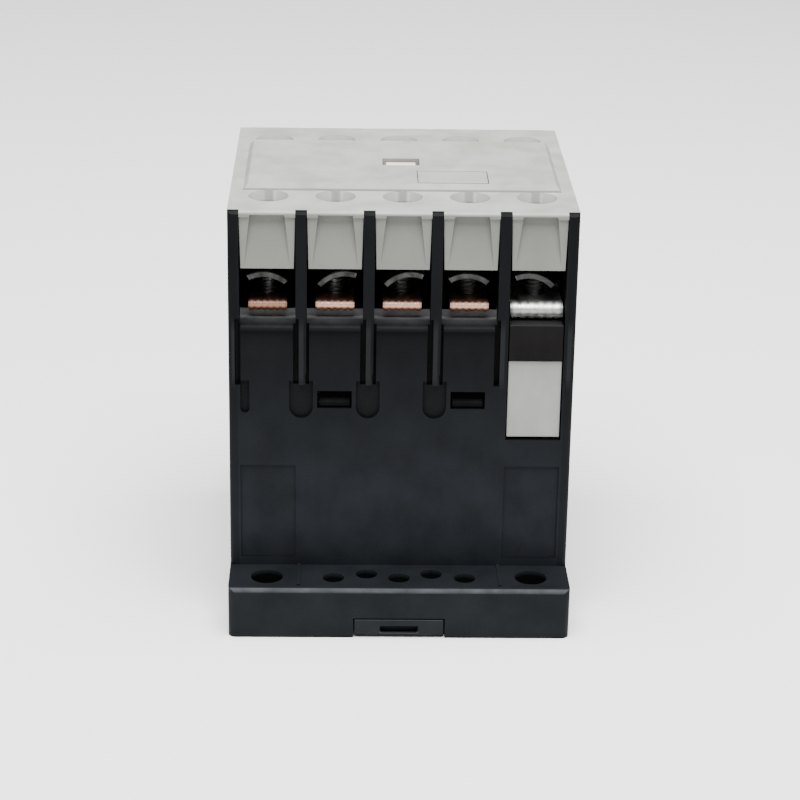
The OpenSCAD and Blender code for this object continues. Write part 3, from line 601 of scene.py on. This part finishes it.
def make_screw(low, high):
    """One clamp screw with the end of its shank at the origin."""
    head_r = (high.x - low.x) / 2
    height = high.z - low.z
    rows = screw_profile(height, head_r)
    verts = []
    for crest, z, depth in rows:
        for column in range(SCREW_SIDES):
            share = column / SCREW_SIDES
            phase = (z / THREAD_PITCH - share) % 1
            radius = crest - depth * abs(2 * phase - 1)
            verts.append((radius * math.cos(math.tau * share), radius * math.sin(math.tau * share), z))
    faces = grid_faces(len(rows), SCREW_SIDES) + cap_faces(len(rows), SCREW_SIDES)
    screw = new_piece("clamp_screw", "screw_steel", verts, faces)
    cut(screw, slot_cutter(LONG_SLOT * head_r, height, 0))
    cut(screw, slot_cutter(SHORT_SLOT * head_r, height, 90))
    screw.data.set_sharp_from_angle(angle=SHARP_ANGLE)
    return screw


def slot_cutter(half_length, height, turn):
    """A bar with slightly sloping sides across the top of the head."""
    corners = ((-1, -1), (1, -1), (1, 1), (-1, 1))
    verts = []
    for z, share in ((height - SLOT_DEPTH, SLOT_FLOOR), (height + SLOT_W, SLOT_MOUTH)):
        verts += [(x * half_length, y * share * SLOT_W, z) for x, y in corners]
    cutter = new_piece("slot_cutter", "screw_steel", verts, grid_faces(2, 4) + cap_faces(2, 4))
    cutter.data.transform(Matrix.Rotation(math.radians(turn), 4, "Z"))
    return cutter


def place_screws():
    """Ten copies of one screw, each turned by its own angle, in place of the plain CAD screws."""
    pattern = make_screw(*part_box("clamp_screw_front_1"))
    for side in SIDES:
        for bay in range(1, BAYS + 1):
            node = f"clamp_screw_{side}_{bay}"
            low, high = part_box(node)
            foot = Vector(((low.x + high.x) / 2, (low.y + high.y) / 2, low.z))
            turn = Matrix.Rotation(math.radians(FIRST_TURN[side] + NEXT_TURN * bay), 4, "Z")
            place = Matrix.Translation(foot) @ turn
            piece = copy_piece(pattern, f"screw_{side}_{bay}", place)
            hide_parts(node)
            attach(piece, f"clamp_{side}_{bay}")
    bpy.data.objects.remove(pattern)


# ---- Springs ----

SPRING_SIDES = 12
SPRING_STEPS = 28
RETURN_WIRE = 0.45 * MM
RETURN_TURNS = 5
BRIDGE_WIRE = 0.4 * MM
BRIDGE_TURNS = 4.5
LATCH_WIRE = 0.3 * MM
LATCH_TURNS = 7


def make_spring(name, wire, radius, length, turns, place):
    """A round-wire spring along Z with a closed half turn at each end; place moves it from the origin."""
    count = int(turns * SPRING_STEPS)
    points = []
    for step in range(count + 1):
        turned = turns * step / count
        climb = min(1, max(0, (turned - 0.5) / (turns - 1)))
        angle = math.tau * turned
        z = wire / 2 + (length - wire) * climb
        points.append(Vector((radius * math.cos(angle), radius * math.sin(angle), z)))
    verts = []
    for step, point in enumerate(points):
        tangent = (points[min(step + 1, count)] - points[max(step - 1, 0)]).normalized()
        side = tangent.cross(Vector((point.x, point.y, 0))).normalized()
        outward = side.cross(tangent)
        for column in range(SPRING_SIDES):
            angle = math.tau * column / SPRING_SIDES
            verts.append(place @ (point + wire / 2 * (outward * math.cos(angle) + side * math.sin(angle))))
    faces = grid_faces(len(points), SPRING_SIDES) + cap_faces(len(points), SPRING_SIDES)
    return new_piece(name, "spring_steel", verts, faces)


def place_return_springs():
    """Two springs that push the carrier up again."""
    low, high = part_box("return_springs")
    coil_r = (high.x - low.x) / 2
    for side, y in (("front", low.y + coil_r), ("rear", high.y - coil_r)):
        place = Matrix.Translation((0, y, low.z))
        size = (RETURN_WIRE, coil_r - RETURN_WIRE / 2, high.z - low.z, RETURN_TURNS)
        spring = make_spring(f"return_spring_{side}", *size, place)
        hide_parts("return_springs")
        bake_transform(spring)


def place_contact_springs():
    """Each lies between the end of a carrier window and its bridge, above the bridge or below it."""
    for pole in range(1, POLES + 1):
        node = f"contact_spring_{pole}"
        low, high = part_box(node)
        x = (low.x + high.x) / 2
        coil_r = (high.y - low.y) / 2
        place = Matrix.Translation((x, 0, low.z))
        size = (BRIDGE_WIRE, coil_r - BRIDGE_WIRE / 2, high.z - low.z, BRIDGE_TURNS)
        spring = make_spring(f"bridge_spring_{pole}", *size, place)
        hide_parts(node)
        ends = [Vector((x, 0, low.z + BRIDGE_WIRE)), Vector((x, 0, high.z - BRIDGE_WIRE))]
        if low.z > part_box(f"contact_bridge_{pole}")[0].z:
            ends.reverse()
        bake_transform(spring)


def place_latch_spring():
    """The spring of the rail latch, which lies along Y."""
    low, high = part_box("latch_spring")
    coil_r = (high.z - low.z) / 2
    centre = (low + high) / 2
    turn = Matrix.Rotation(math.radians(-90), 4, "X")
    place = Matrix.Translation((centre.x, low.y, centre.z)) @ turn
    size = (LATCH_WIRE, coil_r - LATCH_WIRE / 2, high.y - low.y, LATCH_TURNS)
    spring = make_spring("catch_spring", *size, place)
    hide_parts("latch_spring")
    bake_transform(spring)


# ---- Coil: wound wire and its tape ----

WINDING_CORNER = 4.7 * MM
WINDING_DEPTH = 4.35 * MM
WINDING_WIRE = 0.225 * MM
WIRE_PROFILE = ((0.0, -0.08), (0.25, -0.02), (0.5, 0.0), (0.75, -0.02))  # share of a turn, offset in mm
TAPE_T = 0.25 * MM
TAPE_EDGE = 0.4 * MM
TAPE_EDGE_T = 0.8 * TAPE_T
CORNER_STEPS = 8


def ring_piece(name, node, slot, rows):
    """A closed ring round the coil: its section is a loop of (outward offset, height) rows."""
    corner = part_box("coil_winding")[1] - Vector((WINDING_CORNER, WINDING_CORNER, 0))
    path = []
    for quarter, (side_x, side_y) in enumerate(((1, 1), (-1, 1), (-1, -1), (1, -1))):
        centre = Vector((side_x * corner.x, side_y * corner.y, 0))
        for step in range(CORNER_STEPS + 1):
            angle = math.radians(90 * (quarter + step / CORNER_STEPS))
            normal = Vector((math.cos(angle), math.sin(angle), 0))
            path.append((centre + WINDING_CORNER * normal, normal))
    verts = [point + normal * offset + Vector((0, 0, z)) for offset, z in rows for point, normal in path]
    piece = new_piece(name, slot, verts, grid_faces(len(rows), len(path), closed=True))
    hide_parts(node)
    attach(piece, "root")


def place_winding():
    """The turns of wire, as grooves round the outside of a ring."""
    low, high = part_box("coil_winding")
    turns = int((high.z - low.z) / WINDING_WIRE)
    rows = [(-WINDING_DEPTH, high.z), (-WINDING_DEPTH, low.z)]
    for turn in range(turns):
        for share, offset in WIRE_PROFILE:
            rows.append((offset * MM, low.z + (turn + share) * (high.z - low.z) / turns))
    rows.append((WIRE_PROFILE[0][1] * MM, high.z))
    ring_piece("wound_wire", "coil_winding", "winding_copper", rows)


def place_tape():
    """The tape round the winding, thinner along its two edges."""
    low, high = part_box("winding_tape")
    inside = [(0, high.z), (0, low.z)]
    lower_edge = [(TAPE_EDGE_T, low.z), (TAPE_T, low.z + TAPE_EDGE)]
    upper_edge = [(TAPE_T, high.z - TAPE_EDGE), (TAPE_EDGE_T, high.z)]
    ring_piece("wound_tape", "winding_tape", "tape_film", inside + lower_edge + upper_edge)


# ---- The CAD nodes, with their edges broken ----

EDGE_WIDTHS_MM = {
    "main_housing": 0.16,
    "mounting_base": 0.2,
    "front_cover": 0.14,
    "marking_plate": 0.08,
    "coil_bobbin": 0.16,
    "coil_label": 0.08,
    "rail_latch": 0.15,
    "contact_carrier": 0.12,
    "armature": 0.12,
    "stator_core": 0.1,
    "coil_terminal": 0.07,
    "fixed_contact": 0.07,
    "contact_bridge": 0.08,
    "saddle_washer": 0.1,
}
SAME_POINT = 0.001 * MM
BEVEL_ANGLE = math.radians(40)


def break_edges(obj, width_mm):
    """Rounds the sharp edges of a node by a modifier, as a mould or a press leaves them."""
    weld = obj.modifiers.new("weld", "WELD")
    weld.merge_threshold = SAME_POINT
    bevel = obj.modifiers.new("edges", "BEVEL")
    bevel.width = width_mm * MM
    bevel.segments = 2
    bevel.limit_method = "ANGLE"
    bevel.angle_limit = BEVEL_ANGLE
    bevel.miter_outer = "MITER_ARC"


def dress_nodes():
    """Gives each CAD node the material of its slot and, where it has a width, broken edges."""
    for entry in frame["record"]["subparts"]:
        obj = NODES[entry["node"]]
        obj.data.materials.clear()
        obj.data.materials.append(MATERIALS[entry["material_slot"]])
        for start, width in EDGE_WIDTHS_MM.items():
            if entry["node"].startswith(start) and "tips" not in entry["node"]:
                break_edges(obj, width)


# ---- Stage, light and camera ----

def make_stage():
    """A plain pale floor."""
    bpy.ops.mesh.primitive_plane_add(size=6, location=(0, 0, 0))
    floor = bpy.context.object
    floor.name = "floor"
    look = Look("floor_paper")
    look.colour(look.mix(look.noise(40, 3), (0.84, 0.84, 0.83), (0.86, 0.86, 0.85)))
    look.set(Roughness=0.9, Specular_IOR_Level=0.1)
    floor.data.materials.append(look.material)


def area_light(name, place_mm, target_mm, size_mm, power):
    """A rectangular light that points at a target."""
    data = bpy.data.lights.new(name, "AREA")
    data.shape = "RECTANGLE"
    data.size, data.size_y = (side * MM for side in size_mm)
    data.energy = power
    light = bpy.data.objects.new(name, data)
    bpy.context.scene.collection.objects.link(light)
    place = Vector(place_mm) * MM
    aim = Vector(target_mm) * MM - place
    light.matrix_world = Matrix.Translation(place) @ aim.to_track_quat("-Z", "Y").to_matrix().to_4x4()


def make_lights():
    """One broad light over the front, and a dim even sky."""
    world = bpy.data.worlds.new("studio")
    bpy.context.scene.world = world
    world.use_nodes = True
    background = world.node_tree.nodes["Background"]
    background.inputs["Color"].default_value = (0.95, 0.97, 1.0, 1)
    background.inputs["Strength"].default_value = 0.35
    area_light("top_light", place_mm=(10, -140, 620), target_mm=(0, -20, 30), size_mm=(620, 560), power=18)


def make_camera():
    """The photograph's viewpoint: in front of the lower terminals, looking down by 21 degrees."""
    place = Vector((-7.6, -314, 143)) * MM
    pitch, yaw, roll = (math.radians(angle) for angle in (20.98, 1.46, 0.93))
    forward = Vector((math.sin(yaw) * math.cos(pitch), math.cos(yaw) * math.cos(pitch), -math.sin(pitch)))
    right = Vector((math.cos(yaw), -math.sin(yaw), 0))
    up = right.cross(forward)
    rolled_right = right * math.cos(roll) + up * math.sin(roll)
    rolled_up = up * math.cos(roll) - right * math.sin(roll)
    data = bpy.data.cameras.new("camera")
    data.sensor_width = 36
    data.lens = 108
    data.clip_start = 0.01
    camera = bpy.data.objects.new("camera", data)
    bpy.context.scene.collection.objects.link(camera)
    rotation = Matrix((rolled_right, rolled_up, -forward)).transposed()
    camera.matrix_world = Matrix.Translation(place) @ rotation.to_4x4()
    bpy.context.scene.camera = camera


make_materials()
dress_nodes()
place_screws()
place_return_springs()
place_contact_springs()
place_latch_spring()
place_winding()
place_tape()
make_stage()
make_lights()
make_camera()
